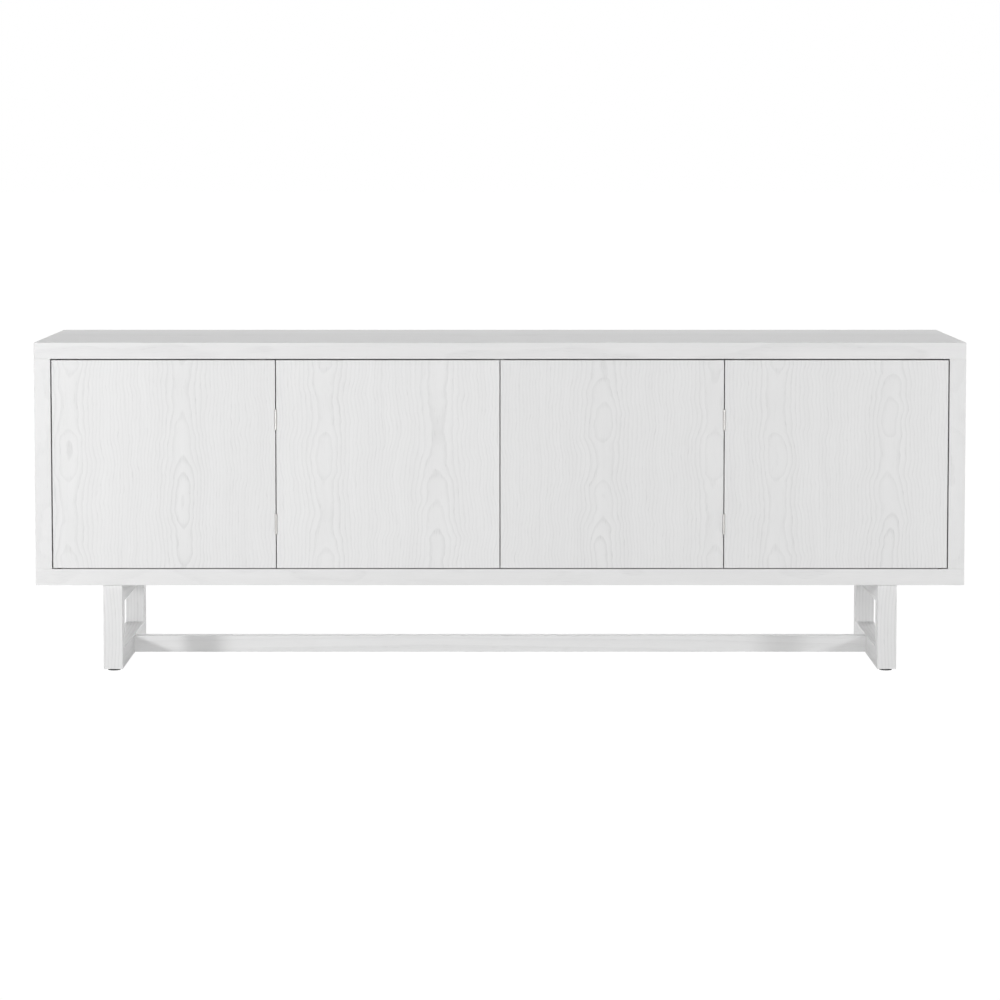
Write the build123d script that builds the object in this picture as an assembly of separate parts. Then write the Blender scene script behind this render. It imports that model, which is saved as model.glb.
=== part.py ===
from build123d import *

import os

# A low media stand: a long case on two closed leg frames, shut by two pairs of folding doors.
#
# Millimetres. X runs along the width, +Y goes towards the back and +Z is up. The origin is on
# the floor, under the middle of the case. Left and right are as seen from the front.
#
# Each outer door turns on pivot pins in the case, near the case side. Each inner door hangs on
# its outer door by two butt hinges whose knuckles stand in the gap between them, so it folds
# against the outer door's front. Touch latches under the top panel hold all four doors shut.
# Everything that comes as a left and right pair is drawn on the right, at +X, and mirrored.

# ---- driving dimensions ----------------------------------------------------------------------
WIDTH = 1829.0
DEPTH = 420.0
CASE_HEIGHT = 479.0
LEG_HEIGHT = 168.0
GLIDE_HEIGHT = 4.0

PANEL = 32.0  # top, bottom and side panels
PARTITION = 19.0
SHELF = 18.0
BACK = 9.0
DOOR = 20.0
DOOR_GAP = 2.0  # between doors and below them
EDGE_GAP = 2.6  # above the doors, and beside the outer ones
EASE = 0.6  # rounding on the edges of boards

MEMBER = 37.5  # square section of a leg frame's posts and rails
FRAME_OUTER_X = 783.0
FRAME_SET_BACK = 7.0  # from the front and the back of the case
STRETCHER_HEIGHT = 32.5
STRETCHER_DEPTH = 27.0
STRETCHER_UP = 3.1  # above the underside of the bottom rails
GLIDE_RADIUS = 12.5

# ---- planes worked out from them -------------------------------------------------------------
FRONT = -DEPTH / 2
REAR = DEPTH / 2
SIDE_X = WIDTH / 2
INSIDE_X = SIDE_X - PANEL
CASE_LOW = GLIDE_HEIGHT + LEG_HEIGHT
CASE_HIGH = CASE_LOW + CASE_HEIGHT
INSIDE_LOW = CASE_LOW + PANEL
INSIDE_HIGH = CASE_HIGH - PANEL
INSIDE_MID = (INSIDE_LOW + INSIDE_HIGH) / 2
BACK_FACE = REAR - BACK  # inner face of the back panel
DOOR_BACK = FRONT + DOOR

# ---- doors and their pivot pins --------------------------------------------------------------
DOOR_WIDTH = (2 * INSIDE_X - 3 * DOOR_GAP - 2 * EDGE_GAP) / 4
DOOR_LOW = INSIDE_LOW + DOOR_GAP
DOOR_HIGH = INSIDE_HIGH - EDGE_GAP
FOLD_X = DOOR_WIDTH + DOOR_GAP  # middle of the gap between an inner and an outer door

# The corner of the door needs 1.55 mm of the edge gap as it turns about this point.
PIVOT_X = INSIDE_X - EDGE_GAP - 12.0
PIVOT_Y = FRONT + 6.3
PIVOT_RADIUS = 3.0
PIVOT_IN_DOOR = 14.0
PIVOT_IN_BUSH = 8.0
COLLAR_RADIUS = 5.0
COLLAR_HEIGHT = 1.0
BUSH_RADIUS = 5.5
BUSH_LENGTH = 9.0
RUNNING_CLEARANCE = 0.05

# ---- butt hinges between the doors -----------------------------------------------------------
HINGE_HEIGHT = 40.0
HINGE_LEVELS = (DOOR_LOW + 87.0, DOOR_HIGH - 117.0)
KNUCKLE_RADIUS = 2.0
KNUCKLE_COUNT = 5
KNUCKLE_PLAY = 0.2
HINGE_PIN_RADIUS = 1.2
LEAF_THICKNESS = 1.0
LEAF_DEPTH = 17.5
KNUCKLE_RELIEF = 0.4  # room round a knuckle in the wood, and in front of the other leaf
HINGE_PIN_PROUD = 0.3  # at each end of the knuckles
LEAF_SCREW_SPOTS = ((7.0, -13.0), (13.0, 0), (7.0, 13.0))

# ---- inside the case -------------------------------------------------------------------------
REBATE = 10.0
PARTITION_FRONT = DOOR_BACK + 0.5  # the inner doors' free edges stop against it
SHELF_PLAY = 1.5
SHELF_FRONT = FRONT + 60.0
SHELF_REAR = BACK_FACE - 26.0  # leaves a way for cables behind the shelf
SHELF_LOW = INSIDE_MID - SHELF / 2
PIN_HOLE_RADIUS = 2.5
PIN_HOLE_DEPTH = 8.0
PIN_HOLE_PITCH = 32.0
PIN_HOLES_EACH_WAY = 3
PIN_HOLE_ROWS = (SHELF_FRONT + 37.0, SHELF_REAR - 37.0)
PIN_OUT = 9.0  # what a shelf pin shows outside its hole
PIN_COLLAR_RADIUS = 4.0
PIN_COLLAR = 1.0
PORT_X = FOLD_X
PORT_Z = INSIDE_LOW + 70.0
PORT_RADIUS = 30.0
PORT_WALL = 3.0
PORT_FLANGE = 2.0
PORT_FLANGE_RADIUS = PORT_RADIUS + 5.0
DOWEL_RADIUS = 4.0
CASE_DOWEL = 40.0
SIDE_MID_X = SIDE_X - PANEL / 2

# ---- touch latches ---------------------------------------------------------------------------
LATCH_FROM_EDGE = 27.5  # from the free edge of the door to the middle of the latch
LATCH_FRONT = DOOR_BACK + 6.0
LATCH_LENGTH = 70.0
LATCH_BODY = (14.0, 15.0)
LATCH_FLANGE = (34.0, 40.0, 2.5)
LATCH_LEVEL = INSIDE_HIGH - LATCH_FLANGE[2] - 8.0
PLUNGER_RADIUS = 4.5
PLUNGER_IN_BODY = 40.0
PLUNGER_TRAVEL = 3.0
PLUNGER_ROOM = 3.0  # left in the bore behind a pressed plunger
STRIKE_RADIUS = 6.0
STRIKE_THICKNESS = 1.8
STRIKE_AIR = 0.3
INNER_LATCH_X = DOOR_GAP / 2 + LATCH_FROM_EDGE
OUTER_LATCH_X = FOLD_X + DOOR_GAP / 2 + LATCH_FROM_EDGE

# ---- leg frames ------------------------------------------------------------------------------
FRAME_MID_X = FRAME_OUTER_X - MEMBER / 2
FRAME_INNER_X = FRAME_OUTER_X - MEMBER
FRAME_REACH = REAR - FRAME_SET_BACK  # outer face of a post
POST_MID_Y = FRAME_REACH - MEMBER / 2
RAIL_REACH = FRAME_REACH - MEMBER
STRETCHER_LOW = GLIDE_HEIGHT + STRETCHER_UP
LEG_DOWEL = 50.0
LEG_DOWEL_SPREAD = 9.0  # of the two dowels in a joint, each way from its middle
STRETCHER_DOWEL_RADIUS = 3.0
STRETCHER_DOWEL_SPREAD = 8.0
GLIDE_NAIL_RADIUS = 2.0
GLIDE_NAIL = 12.0

# ---- screws: radius of the head, radius of the shank, length ---------------------------------
BACK_SCREW = (3.2, 1.7, 24.0)
LEG_SCREW = (4.8, 2.5, MEMBER + 24.0)
LEAF_SCREW = (2.3, 1.3, 15.0)
LATCH_SCREW = (3.0, 1.5, 18.0)
STRIKE_SCREW = (2.8, 1.5, 14.0)

FROM_BASE = (Align.CENTER, Align.CENTER, Align.MIN)


# ---- drawing helpers -------------------------------------------------------------------------
def block(x, y, z):
    """A square-edged box between the low and high value of each axis."""
    size = [high - low for low, high in (x, y, z)]
    middle = [(high + low) / 2 for low, high in (x, y, z)]
    return Pos(*middle) * Box(*size)


def board(x, y, z, ease=EASE):
    """A box with its edges slightly rounded, as sanded wood is."""
    blank = block(x, y, z)
    return fillet(blank.edges(), ease)


def aimed(shape, start, along):
    """Puts a shape drawn up from the origin at a point, running along a direction."""
    return Plane(origin=start, z_dir=along).location * shape


def rod(radius, length, start, along):
    return aimed(Cylinder(radius, length, align=FROM_BASE), start, along)


def screw(size, start, along):
    """A countersunk screw whose head is flush at its start."""
    head_radius, shank_radius, length = size
    head_depth = head_radius - shank_radius
    head = Cone(head_radius, shank_radius, head_depth, align=FROM_BASE)
    shank = Pos(0, 0, head_depth) * Cylinder(shank_radius, length - head_depth, align=FROM_BASE)
    return aimed(head + shank, start, along)


def drilled(wood, fittings):
    """Cuts a seat in a board for each fitting that enters it."""
    for fitting in fittings:
        wood -= fitting
    return wood


def mirrored(shape):
    return mirror(shape, about=Plane.YZ)


def group(shapes):
    """Several like pieces kept in one sub-part."""
    return Compound([solid for shape in shapes for solid in shape.solids()])


# ---- fasteners of the case -------------------------------------------------------------------
def case_dowels():
    """Dowels that hold the upright boards between the top and bottom panels."""
    in_upright = 22.0
    side_rows = (-150.0, 0, 150.0)
    partition_rows = (-140.0, 0, 140.0)
    dowels = []
    for x, rows in ((-SIDE_MID_X, side_rows), (0, partition_rows), (SIDE_MID_X, side_rows)):
        for y in rows:
            dowels.append(rod(DOWEL_RADIUS, CASE_DOWEL, (x, y, INSIDE_HIGH - in_upright), (0, 0, 1)))
            dowels.append(rod(DOWEL_RADIUS, CASE_DOWEL, (x, y, INSIDE_LOW + in_upright), (0, 0, -1)))
    return dowels


def back_screws():
    """Screws through the back panel into the rebates and the partition."""
    columns = (-820.0, -410.0, 0, 410.0, 820.0)
    side_rows = (-110.0, 0, 110.0)
    partition_rows = (-80.0, 80.0)
    ledge_x = INSIDE_X + REBATE / 2
    spots = []
    for x in columns:
        spots += [(x, INSIDE_LOW - REBATE / 2), (x, INSIDE_HIGH + REBATE / 2)]
    for up in side_rows:
        spots += [(-ledge_x, INSIDE_MID + up), (ledge_x, INSIDE_MID + up)]
    for up in partition_rows:
        spots.append((0, INSIDE_MID + up))
    return [screw(BACK_SCREW, (x, REAR, z), (0, -1, 0)) for x, z in spots]


def shelf_pin_spots(steps):
    """Where shelf pins can stand: the face that each enters, and its level."""
    level = SHELF_LOW - PIN_HOLE_RADIUS
    for side in (-1, 1):
        for face, inward in ((INSIDE_X, 1), (PARTITION / 2, -1)):
            for y in PIN_HOLE_ROWS:
                for step in steps:
                    yield (side * face, y, level + step * PIN_HOLE_PITCH), (side * inward, 0, 0)


def shelf_pins():
    """Pins with a collar that is cut flat on top, so that it clears the shelf."""
    pins = []
    for spot, into_wood in shelf_pin_spots([0]):
        outward = (-into_wood[0], 0, 0)
        pin = rod(PIN_HOLE_RADIUS, PIN_HOLE_DEPTH, spot, into_wood)
        pin += rod(PIN_HOLE_RADIUS, PIN_OUT, spot, outward)
        pin += rod(PIN_COLLAR_RADIUS, PIN_COLLAR, spot, outward)
        x, y, level = spot
        reach = PIN_COLLAR_RADIUS + 1
        above = (SHELF_LOW, SHELF_LOW + reach)
        pins.append(pin - block((x - reach, x + reach), (y - reach, y + reach), above))
    return pins


def shelf_pin_holes():
    steps = range(-PIN_HOLES_EACH_WAY, PIN_HOLES_EACH_WAY + 1)
    return [rod(PIN_HOLE_RADIUS, PIN_HOLE_DEPTH, spot, along) for spot, along in shelf_pin_spots(steps)]


def leg_frame_screws():
    """Screws up through the top rails into the bottom panel."""
    rows = (-110.0, 0, 110.0)
    low = CASE_LOW - MEMBER
    spots = [(side * FRAME_MID_X, y) for side in (-1, 1) for y in rows]
    return [screw(LEG_SCREW, (x, y, low), (0, 0, 1)) for x, y in spots]


def leg_frame_dowels():
    """Dowels of the leg frames' corners, two at each, and of the stretcher's ends."""
    dowels = []
    stretcher_mid = STRETCHER_LOW + STRETCHER_HEIGHT / 2
    for side in (-1, 1):
        for z in (CASE_LOW - MEMBER / 2, GLIDE_HEIGHT + MEMBER / 2):
            for across in (-LEG_DOWEL_SPREAD, LEG_DOWEL_SPREAD):
                for end in (-1, 1):
                    start = (side * FRAME_MID_X + across, end * (RAIL_REACH - LEG_DOWEL / 2), z)
                    dowels.append(rod(DOWEL_RADIUS, LEG_DOWEL, start, (0, end, 0)))
        for up in (-STRETCHER_DOWEL_SPREAD, STRETCHER_DOWEL_SPREAD):
            start = (side * (FRAME_INNER_X - LEG_DOWEL / 2), 0, stretcher_mid + up)
            dowels.append(rod(STRETCHER_DOWEL_RADIUS, LEG_DOWEL, start, (side, 0, 0)))
    return dowels


# ---- pivot pins and bushes, for the right outer door -------------------------------------------
def pivot_pins():
    pins = []
    for door_end, case_face, way in ((DOOR_HIGH, INSIDE_HIGH, 1), (DOOR_LOW, INSIDE_LOW, -1)):
        length = PIVOT_IN_DOOR + abs(case_face - door_end) + PIVOT_IN_BUSH
        pin = rod(PIVOT_RADIUS, length, (PIVOT_X, PIVOT_Y, door_end - way * PIVOT_IN_DOOR), (0, 0, way))
        collar = rod(COLLAR_RADIUS, COLLAR_HEIGHT, (PIVOT_X, PIVOT_Y, door_end), (0, 0, way))
        pins.append(pin + collar)
    return pins


def bush_seats():
    """The holes in the top and bottom panels that the bushes fill."""
    mouths = ((INSIDE_HIGH, 1), (INSIDE_LOW, -1))
    return [rod(BUSH_RADIUS, BUSH_LENGTH, (PIVOT_X, PIVOT_Y, face), (0, 0, way)) for face, way in mouths]


def pivot_bushes():
    bore = Cylinder(PIVOT_RADIUS + RUNNING_CLEARANCE, 2 * CASE_HEIGHT)
    return [seat - Pos(PIVOT_X, PIVOT_Y, INSIDE_MID) * bore for seat in bush_seats()]


# ---- butt hinges, drawn about their pin with the outer door's leaf at +X -----------------------
def leaf_screws():
    """Three countersunk screws, staggered, through the outer door's leaf."""
    return [screw(LEAF_SCREW, (DOOR_GAP / 2, y, z), (1, 0, 0)) for y, z in LEAF_SCREW_SPOTS]


def hinge_leaf(own_knuckles, bore_radius):
    inner = DOOR_GAP / 2
    outer = inner + LEAF_THICKNESS
    half = HINGE_HEIGHT / 2
    step = HINGE_HEIGHT / KNUCKLE_COUNT
    plate_start = KNUCKLE_RADIUS + KNUCKLE_RELIEF
    leaf = block((inner, outer), (plate_start, LEAF_DEPTH), (-half, half))
    for index in own_knuckles:
        low = -half + index * step + KNUCKLE_PLAY / 2
        high = low + step - KNUCKLE_PLAY
        leaf += Pos(0, 0, (low + high) / 2) * Cylinder(KNUCKLE_RADIUS, high - low)
        leaf += block((inner, outer), (0, plate_start), (low, high))
    leaf -= Cylinder(bore_radius, 2 * HINGE_HEIGHT)
    return drilled(leaf, leaf_screws())


def leaf_seat():
    """What is cut out of the outer door's edge for one hinge."""
    half = HINGE_HEIGHT / 2
    mortise = block((0, DOOR_GAP / 2 + LEAF_THICKNESS), (-1, LEAF_DEPTH), (-half, half))
    relief = Cylinder(KNUCKLE_RADIUS + KNUCKLE_RELIEF, HINGE_HEIGHT + 1.0)
    return mortise + relief


def at_hinges(shape):
    """One copy of a shape at each hinge of the right pair of doors."""
    return [Pos(FOLD_X, FRONT, level) * shape for level in HINGE_LEVELS]


# ---- touch latches ---------------------------------------------------------------------------
def latch_housing(x):
    """A housing round its plunger, hung from the top panel by a flange."""
    body_width, body_height = LATCH_BODY
    flange_width, flange_length, flange_height = LATCH_FLANGE
    ceiling = INSIDE_HIGH - flange_height
    middle = LATCH_FRONT + LATCH_LENGTH / 2
    body = Pos(x, middle, ceiling - body_height / 2) * Box(body_width, LATCH_LENGTH, body_height)
    body = fillet(body.edges().filter_by(Axis.Y), 1.5)
    flange = Pos(x, middle, INSIDE_HIGH - flange_height / 2) * Box(*LATCH_FLANGE)
    flange = fillet(flange.edges().filter_by(Axis.Z), 4.0)
    bore_length = PLUNGER_IN_BODY + PLUNGER_TRAVEL + PLUNGER_ROOM
    bore = rod(PLUNGER_RADIUS + RUNNING_CLEARANCE, bore_length, (x, LATCH_FRONT, LATCH_LEVEL), (0, 1, 0))
    return drilled(body + flange - bore, latch_screws(x))


def latch_screws(x):
    """Two screws at opposite corners of a housing's flange."""
    across, back = 12.0, 11.0
    middle = LATCH_FRONT + LATCH_LENGTH / 2
    level = INSIDE_HIGH - LATCH_FLANGE[2]
    spots = ((x - across, middle - back, level), (x + across, middle + back, level))
    return [screw(LATCH_SCREW, spot, (0, 0, 1)) for spot in spots]


def latch_plunger(x):
    tip = DOOR_BACK + STRIKE_THICKNESS + STRIKE_AIR
    length = LATCH_FRONT + PLUNGER_IN_BODY - tip
    plunger = rod(PLUNGER_RADIUS, length, (x, tip, LATCH_LEVEL), (0, 1, 0))
    return chamfer(plunger.edges().group_by(Axis.Y)[0], 0.5)


def strike_screw(x):
    return screw(STRIKE_SCREW, (x, DOOR_BACK + STRIKE_THICKNESS, LATCH_LEVEL), (0, -1, 0))


def strike_plate(x):
    plate = rod(STRIKE_RADIUS, STRIKE_THICKNESS, (x, DOOR_BACK, LATCH_LEVEL), (0, 1, 0))
    return plate - strike_screw(x)


# ---- boards of the case ----------------------------------------------------------------------
def back_rebate():
    x = (-INSIDE_X - REBATE, INSIDE_X + REBATE)
    return block(x, (BACK_FACE, REAR + 1), (INSIDE_LOW - REBATE, INSIDE_HIGH + REBATE))


def top_panel():
    wood = board((-SIDE_X, SIDE_X), (FRONT, REAR), (INSIDE_HIGH, CASE_HIGH)) - back_rebate()
    wood = drilled(wood, case_dowels() + back_screws() + both_sides(bush_seats()))
    return drilled(wood, all_latch_screws())


def bottom_panel():
    wood = board((-SIDE_X, SIDE_X), (FRONT, REAR), (CASE_LOW, INSIDE_LOW)) - back_rebate()
    wood = drilled(wood, case_dowels() + back_screws() + both_sides(bush_seats()))
    return drilled(wood, leg_frame_screws())


def side_panel():
    wood = board((INSIDE_X, SIDE_X), (FRONT, REAR), (INSIDE_LOW, INSIDE_HIGH)) - back_rebate()
    return drilled(wood, case_dowels() + back_screws() + shelf_pin_holes())


def centre_partition():
    x = (-PARTITION / 2, PARTITION / 2)
    wood = block(x, (PARTITION_FRONT, BACK_FACE), (INSIDE_LOW, INSIDE_HIGH))
    wood = fillet(wood.faces().sort_by(Axis.Y)[0].edges().filter_by(Axis.Z), EASE)
    return drilled(wood, case_dowels() + back_screws() + shelf_pin_holes())


def back_panel():
    play = 0.5
    reach = INSIDE_X + REBATE - play
    z = (INSIDE_LOW - REBATE + play, INSIDE_HIGH + REBATE - play)
    wood = block((-reach, reach), (BACK_FACE, REAR), z)
    ports = [rod(PORT_RADIUS, BACK, (side * PORT_X, BACK_FACE, PORT_Z), (0, 1, 0)) for side in (-1, 1)]
    return drilled(wood, back_screws() + ports)


def shelf():
    x = (PARTITION / 2 + SHELF_PLAY, INSIDE_X - SHELF_PLAY)
    return board(x, (SHELF_FRONT, SHELF_REAR), (SHELF_LOW, SHELF_LOW + SHELF))


def cable_grommet():
    """A sleeve through the back panel with a flange on the outside."""
    sleeve_start = BACK_FACE - 3.0
    length = REAR + PORT_FLANGE - sleeve_start
    sleeve = rod(PORT_RADIUS, length, (PORT_X, sleeve_start, PORT_Z), (0, 1, 0))
    rim = rod(PORT_FLANGE_RADIUS, PORT_FLANGE, (PORT_X, REAR, PORT_Z), (0, 1, 0))
    rim = fillet(rim.edges().group_by(Axis.Y)[-1], 1.2)
    return sleeve + rim - rod(PORT_RADIUS - PORT_WALL, length, (PORT_X, sleeve_start, PORT_Z), (0, 1, 0))


# ---- doors -----------------------------------------------------------------------------------
def outer_door():
    x = (FOLD_X + DOOR_GAP / 2, INSIDE_X - EDGE_GAP)
    wood = board(x, (FRONT, DOOR_BACK), (DOOR_LOW, DOOR_HIGH))
    wood = drilled(wood, at_hinges(leaf_seat()) + pivot_pins())
    return drilled(wood, outer_door_screws())


def inner_door():
    x = (DOOR_GAP / 2, FOLD_X - DOOR_GAP / 2)
    wood = board(x, (FRONT, DOOR_BACK), (DOOR_LOW, DOOR_HIGH))
    wood = drilled(wood, at_hinges(mirrored(leaf_seat())))
    return drilled(wood, inner_door_screws())


def outer_door_screws():
    leaf = [copy for form in leaf_screws() for copy in at_hinges(form)]
    return leaf + [strike_screw(OUTER_LATCH_X)]


def inner_door_screws():
    leaf = [copy for form in leaf_screws() for copy in at_hinges(mirrored(form))]
    return leaf + [strike_screw(INNER_LATCH_X)]


def hinge_pin():
    return Cylinder(HINGE_PIN_RADIUS, HINGE_HEIGHT + 2 * HINGE_PIN_PROUD)


# ---- leg frames ------------------------------------------------------------------------------
def leg_post(end):
    """An upright of the right leg frame: at the front for -1, at the back for 1."""
    y = sorted((end * RAIL_REACH, end * FRAME_REACH))
    wood = board((FRAME_INNER_X, FRAME_OUTER_X), y, (GLIDE_HEIGHT, CASE_LOW))
    return drilled(wood, leg_frame_dowels() + [glide(end)])


def leg_rail(low):
    wood = board((FRAME_INNER_X, FRAME_OUTER_X), (-RAIL_REACH, RAIL_REACH), (low, low + MEMBER))
    return drilled(wood, leg_frame_dowels() + leg_frame_screws())


def stretcher():
    y = (-STRETCHER_DEPTH / 2, STRETCHER_DEPTH / 2)
    z = (STRETCHER_LOW, STRETCHER_LOW + STRETCHER_HEIGHT)
    return drilled(board((-FRAME_INNER_X, FRAME_INNER_X), y, z), leg_frame_dowels())


def glide(end):
    """A round floor glide under a post of the right leg frame, with its nail."""
    disc = rod(GLIDE_RADIUS, GLIDE_HEIGHT, (FRAME_MID_X, end * POST_MID_Y, 0), (0, 0, 1))
    disc = fillet(disc.edges().group_by(Axis.Z)[0], 1.0)
    nail = rod(GLIDE_NAIL_RADIUS, GLIDE_HEIGHT + GLIDE_NAIL, (FRAME_MID_X, end * POST_MID_Y, 0), (0, 0, 1))
    return disc + nail


# ---- naming and writing ----------------------------------------------------------------------
def both_sides(shapes):
    return shapes + [mirrored(shape) for shape in shapes]


def all_latch_screws():
    return both_sides(latch_screws(INNER_LATCH_X) + latch_screws(OUTER_LATCH_X))


def single_pieces():
    return {
        "top_panel": top_panel(),
        "bottom_panel": bottom_panel(),
        "centre_partition": centre_partition(),
        "back_panel": back_panel(),
        "shelf_pins": group(shelf_pins()),
        "corner_dowels": group(case_dowels()),
        "back_panel_screws": group(back_screws()),
        "pivot_bushes": group(both_sides(pivot_bushes())),
        "latch_screws": group(all_latch_screws()),
        "stretcher": stretcher(),
        "leg_frame_screws": group(leg_frame_screws()),
        "leg_frame_dowels": group(leg_frame_dowels()),
    }


def paired_pieces():
    """The pieces on the right, each of which has a mirror image on the left."""
    inner_knuckles = range(1, KNUCKLE_COUNT, 2)
    outer_knuckles = range(0, KNUCKLE_COUNT, 2)
    inner_leaf = mirrored(hinge_leaf(inner_knuckles, HINGE_PIN_RADIUS + RUNNING_CLEARANCE))
    outer_leaf = hinge_leaf(outer_knuckles, HINGE_PIN_RADIUS)
    return {
        "side_panel": side_panel(),
        "shelf": shelf(),
        "cable_grommet": cable_grommet(),
        "leg_front_post": leg_post(-1),
        "leg_back_post": leg_post(1),
        "leg_top_rail": leg_rail(CASE_LOW - MEMBER),
        "leg_bottom_rail": leg_rail(GLIDE_HEIGHT),
        "glide_front": glide(-1),
        "glide_back": glide(1),
        "outer_door": outer_door(),
        "inner_door": inner_door(),
        "outer_hinge_leaves": group(at_hinges(outer_leaf)),
        "inner_hinge_leaves": group(at_hinges(inner_leaf)),
        "hinge_pins": group(at_hinges(hinge_pin())),
        "outer_door_screws": group(outer_door_screws()),
        "inner_door_screws": group(inner_door_screws()),
        "pivot_pins": group(pivot_pins()),
        "outer_strike_plate": strike_plate(OUTER_LATCH_X),
        "inner_strike_plate": strike_plate(INNER_LATCH_X),
        "outer_latch_housing": latch_housing(OUTER_LATCH_X),
        "inner_latch_housing": latch_housing(INNER_LATCH_X),
        "outer_latch_plunger": latch_plunger(OUTER_LATCH_X),
        "inner_latch_plunger": latch_plunger(INNER_LATCH_X),
    }


def main():
    os.makedirs("parts", exist_ok=True)
    pieces = single_pieces()
    for name, right in paired_pieces().items():
        pieces[name + "_right"] = right
        pieces[name + "_left"] = mirrored(right)
    for name, shape in pieces.items():
        export_step(shape, f"parts/{name}.step")


main()
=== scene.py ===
"""Low white wood media stand with folding doors, laid out as an add-on.

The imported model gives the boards, hinges, latches and joint bodies. This file finishes them:
it dresses every board in white-stained wood with its own figure, makes the small hardware
that needs finer shapes, and sets the floor, lamps and camera. Lengths are in metres.
"""

import math

import bmesh
import bpy
from bpy.props import FloatProperty, FloatVectorProperty, IntProperty, PointerProperty
from mathutils import Matrix, Vector


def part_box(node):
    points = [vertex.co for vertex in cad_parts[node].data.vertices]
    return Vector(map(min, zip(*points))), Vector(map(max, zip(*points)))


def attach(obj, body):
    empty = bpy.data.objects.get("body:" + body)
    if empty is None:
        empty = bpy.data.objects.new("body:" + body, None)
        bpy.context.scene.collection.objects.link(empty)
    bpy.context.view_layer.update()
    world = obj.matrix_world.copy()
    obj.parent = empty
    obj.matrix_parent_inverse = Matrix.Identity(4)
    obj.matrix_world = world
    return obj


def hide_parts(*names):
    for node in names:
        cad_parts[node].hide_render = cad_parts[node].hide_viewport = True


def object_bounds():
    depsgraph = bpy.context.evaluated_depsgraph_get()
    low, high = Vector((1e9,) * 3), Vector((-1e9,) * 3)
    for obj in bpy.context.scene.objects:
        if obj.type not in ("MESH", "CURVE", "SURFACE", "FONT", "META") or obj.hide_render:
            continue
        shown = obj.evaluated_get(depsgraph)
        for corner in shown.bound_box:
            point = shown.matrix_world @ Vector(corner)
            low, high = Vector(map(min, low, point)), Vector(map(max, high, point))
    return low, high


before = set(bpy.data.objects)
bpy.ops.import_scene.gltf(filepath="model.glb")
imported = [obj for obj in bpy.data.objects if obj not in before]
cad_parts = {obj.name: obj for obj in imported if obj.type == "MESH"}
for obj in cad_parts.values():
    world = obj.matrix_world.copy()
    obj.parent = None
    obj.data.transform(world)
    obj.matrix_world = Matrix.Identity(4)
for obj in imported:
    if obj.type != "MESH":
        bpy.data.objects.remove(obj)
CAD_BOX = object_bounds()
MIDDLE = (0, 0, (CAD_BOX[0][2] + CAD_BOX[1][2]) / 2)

bl_info = {
    "name": "Media Stand",
    "version": (1, 0, 0),
    "blender": (4, 5, 0),
    "location": "View3D > Sidebar > Media Stand",
    "description": "Finishes a low wood media stand with folding doors",
    "category": "Object",
}

SIDES = ("left", "right")
MM = 0.001


# ---- settings that a user would change -----------------------------------------------------------


def colour(name, description, default):
    return FloatVectorProperty(
        name=name, description=description, default=default, subtype="COLOR", size=3, min=0, max=1
    )


def length(name, description, default):
    return FloatProperty(name=name, description=description, default=default, unit="LENGTH", min=0)


def share(name, description, default):
    """A setting from 0, none, to 1, all."""
    return FloatProperty(
        name=name, description=description, default=default, subtype="FACTOR", min=0, max=1
    )


def power(name, description, default):
    return FloatProperty(name=name, description=description, default=default, unit="POWER", min=0)


def brightness(name, description, default):
    return FloatProperty(name=name, description=description, default=default, min=0)


class WoodSettings(bpy.types.PropertyGroup):
    stain: colour("Stain", "Colour of the white-stained wood between its grain lines", (0.80, 0.80, 0.80))
    pale_stain: colour(
        "Pale stain", "Colour of the inner left door and the stretcher, a little paler", (0.82, 0.82, 0.82)
    )
    back_board: colour("Back board", "Colour of the painted back panel", (0.76, 0.76, 0.76))
    raw: colour("Raw wood", "Colour of the unstained dowels", (0.62, 0.45, 0.28))
    ring_width: length("Ring width", "Distance from one growth ring to the next", 0.0065)
    ring_depth: share("Ring depth", "How much darker a late-wood line is", 0.060)
    fibre_depth: share("Fibre depth", "How much darker the fine fibres are", 0.045)
    streak_depth: share("Streak depth", "How much darker the broad streaks are", 0.055)
    pore_depth: share("Pore depth", "How much darker an open pore is", 0.10)
    sway: length("Sway", "How far the growth rings wander from straight", 0.030)
    roughness: share("Roughness", "Roughness of the satin lacquer", 0.46)


class HardwareSettings(bpy.types.PropertyGroup):
    nickel: colour("Nickel", "Colour of the satin nickel", (0.66, 0.65, 0.63))
    black_steel: colour("Black steel", "Colour of the blackened pivot pins", (0.035, 0.035, 0.036))
    zinc: colour("Zinc", "Colour of the zinc-plated screws", (0.62, 0.63, 0.65))
    brass: colour("Brass", "Colour of the pivot bushes", (0.72, 0.56, 0.30))
    white_plastic: colour("White plastic", "Colour of latch housings and grommets", (0.80, 0.80, 0.79))
    grey_plastic: colour("Grey plastic", "Colour of the latch plungers", (0.34, 0.34, 0.35))
    nylon: colour("Black nylon", "Colour of the floor glides", (0.004, 0.004, 0.0045))
    edge_round: length("Edge round", "Rounding of small moulded edges", 0.0006)
    lathe_steps: IntProperty(
        name="Lathe steps", description="Sides of a turned piece", default=48, min=12
    )


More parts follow.
